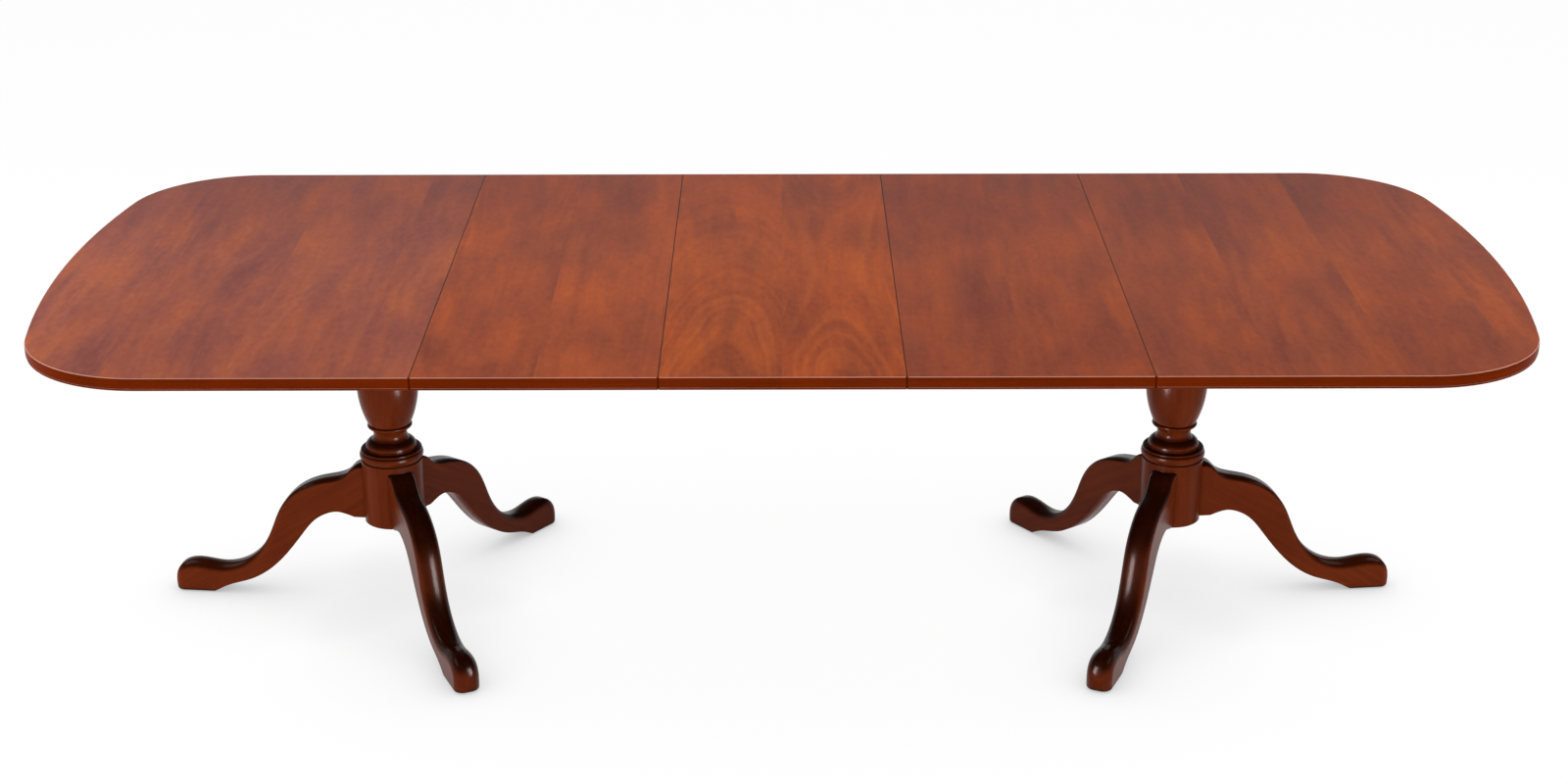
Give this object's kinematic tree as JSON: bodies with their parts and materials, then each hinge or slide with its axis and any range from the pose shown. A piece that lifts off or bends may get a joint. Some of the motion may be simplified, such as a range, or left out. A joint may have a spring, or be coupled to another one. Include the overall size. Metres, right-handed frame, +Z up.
{
  "type": "double pedestal dining table",
  "caption": "Dining table on twin turned pedestals with sawn cabriole legs, a round-ended wooden top, loose leaves and geared extension slides.",
  "frame": {"origin": "on the floor under the middle of the table", "axes": "+X along the table, +Y from front to back, +Z up"},
  "size_m": [2.975, 1.312, 0.762],
  "materials": {
    "top_wood": "satin red-brown stain, grain from front to back",
    "pedestal_wood": "darker red-brown stain under gloss lacquer",
    "slide_wood": "plain oiled hardwood",
    "dowel_wood": "plain hardwood",
    "nylon": "moulded, matt",
    "steel": "zinc-plated"
  },
  "bodies": {
    "centre": {"middle_leaf": "top_wood", "middle_leaf_pins": "dowel_wood", "middle_leaf_lock_plates": "steel", "middle_leaf_keepers": "steel", "front_centre_rail": "slide_wood", "back_centre_rail": "slide_wood", "gear_axles": "steel"},
    "left_end": {"left_end_top": "top_wood", "left_column": "pedestal_wood", "left_outer_leg": "pedestal_wood", "left_front_leg": "pedestal_wood", "left_back_leg": "pedestal_wood", "left_foot_glides": "nylon", "left_bearer": "slide_wood", "left_tenon_wedge": "dowel_wood", "left_front_rail": "slide_wood", "left_front_rack": "nylon", "left_back_rail": "slide_wood", "left_back_rack": "nylon", "left_rail_screws": "steel", "left_bearer_screws": "steel", "left_end_pins": "dowel_wood", "left_end_lock_plates": "steel"},
    "right_end": {"right_end_top": "top_wood", "right_column": "pedestal_wood", "right_outer_leg": "pedestal_wood", "right_front_leg": "pedestal_wood", "right_back_leg": "pedestal_wood", "right_foot_glides": "nylon", "right_bearer": "slide_wood", "right_tenon_wedge": "dowel_wood", "right_front_rail": "slide_wood", "right_front_rack": "nylon", "right_back_rail": "slide_wood", "right_back_rack": "nylon", "right_rail_screws": "steel", "right_bearer_screws": "steel", "right_end_keepers": "steel"},
    "left_leaf": {"left_leaf": "top_wood", "left_leaf_pins": "dowel_wood", "left_leaf_lock_plates": "steel", "left_leaf_keepers": "steel"},
    "right_leaf": {"right_leaf": "top_wood", "right_leaf_pins": "dowel_wood", "right_leaf_lock_plates": "steel", "right_leaf_keepers": "steel"},
    "front_gear": {"front_gear": "nylon"},
    "back_gear": {"back_gear": "nylon"},
    "left_end_front_lever": {"left_end_front_lever": "steel"},
    "left_end_back_lever": {"left_end_back_lever": "steel"},
    "left_leaf_front_lever": {"left_leaf_front_lever": "steel"},
    "left_leaf_back_lever": {"left_leaf_back_lever": "steel"},
    "middle_leaf_front_lever": {"middle_leaf_front_lever": "steel"},
    "middle_leaf_back_lever": {"middle_leaf_back_lever": "steel"},
    "right_leaf_front_lever": {"right_leaf_front_lever": "steel"},
    "right_leaf_back_lever": {"right_leaf_back_lever": "steel"}
  },
  "joints": [
    {"name": "left_end_slide", "type": "slide", "parent": "centre", "child": "left_end", "axis": [-1, 0, 0], "range_m": [0, 0.06]},
    {"name": "right_end_slide", "type": "slide", "parent": "centre", "child": "right_end", "axis": [1, 0, 0], "range_m": [0, 0.06]},
    {"name": "left_leaf_slide", "type": "slide", "parent": "centre", "child": "left_leaf", "axis": [-1, 0, 0], "range_m": [0, 0.03]},
    {"name": "right_leaf_slide", "type": "slide", "parent": "centre", "child": "right_leaf", "axis": [1, 0, 0], "range_m": [0, 0.03]},
    {"name": "front_gear_turn", "type": "hinge", "parent": "centre", "child": "front_gear", "pos_m": [0, -0.215, 0.695], "axis": [0, 0, 1], "range_deg": [-191, 0]},
    {"name": "back_gear_turn", "type": "hinge", "parent": "centre", "child": "back_gear", "pos_m": [0, 0.215, 0.695], "axis": [0, 0, 1], "range_deg": [0, 191]},
    {"name": "left_end_front_lever_swing", "type": "hinge", "parent": "left_end", "child": "left_end_front_lever", "pos_m": [-0.7155, -0.38, 0.7321], "axis": [0, 0, 1], "range_deg": [-90, 0]},
    {"name": "left_end_back_lever_swing", "type": "hinge", "parent": "left_end", "child": "left_end_back_lever", "pos_m": [-0.7155, 0.38, 0.7321], "axis": [0, 0, 1], "range_deg": [0, 90]},
    {"name": "left_leaf_front_lever_swing", "type": "hinge", "parent": "left_leaf", "child": "left_leaf_front_lever", "pos_m": [-0.2585, -0.38, 0.7321], "axis": [0, 0, 1], "range_deg": [-90, 0]},
    {"name": "left_leaf_back_lever_swing", "type": "hinge", "parent": "left_leaf", "child": "left_leaf_back_lever", "pos_m": [-0.2585, 0.38, 0.7321], "axis": [0, 0, 1], "range_deg": [0, 90]},
    {"name": "middle_leaf_front_lever_swing", "type": "hinge", "parent": "centre", "child": "middle_leaf_front_lever", "pos_m": [0.1985, -0.38, 0.7321], "axis": [0, 0, 1], "range_deg": [-90, 0]},
    {"name": "middle_leaf_back_lever_swing", "type": "hinge", "parent": "centre", "child": "middle_leaf_back_lever", "pos_m": [0.1985, 0.38, 0.7321], "axis": [0, 0, 1], "range_deg": [0, 90]},
    {"name": "right_leaf_front_lever_swing", "type": "hinge", "parent": "right_leaf", "child": "right_leaf_front_lever", "pos_m": [0.6555, -0.38, 0.7321], "axis": [0, 0, 1], "range_deg": [-90, 0]},
    {"name": "right_leaf_back_lever_swing", "type": "hinge", "parent": "right_leaf", "child": "right_leaf_back_lever", "pos_m": [0.6555, 0.38, 0.7321], "axis": [0, 0, 1], "range_deg": [0, 90]}
  ],
  "couplings": [
    {"joint": "right_end_slide", "follows": "left_end_slide", "ratio": 1},
    {"joint": "left_leaf_slide", "follows": "left_end_slide", "ratio": 0.5},
    {"joint": "right_leaf_slide", "follows": "left_end_slide", "ratio": 0.5},
    {"joint": "front_gear_turn", "follows": "left_end_slide", "rad_per_m": -55.556},
    {"joint": "back_gear_turn", "follows": "left_end_slide", "rad_per_m": 55.556}
  ]
}
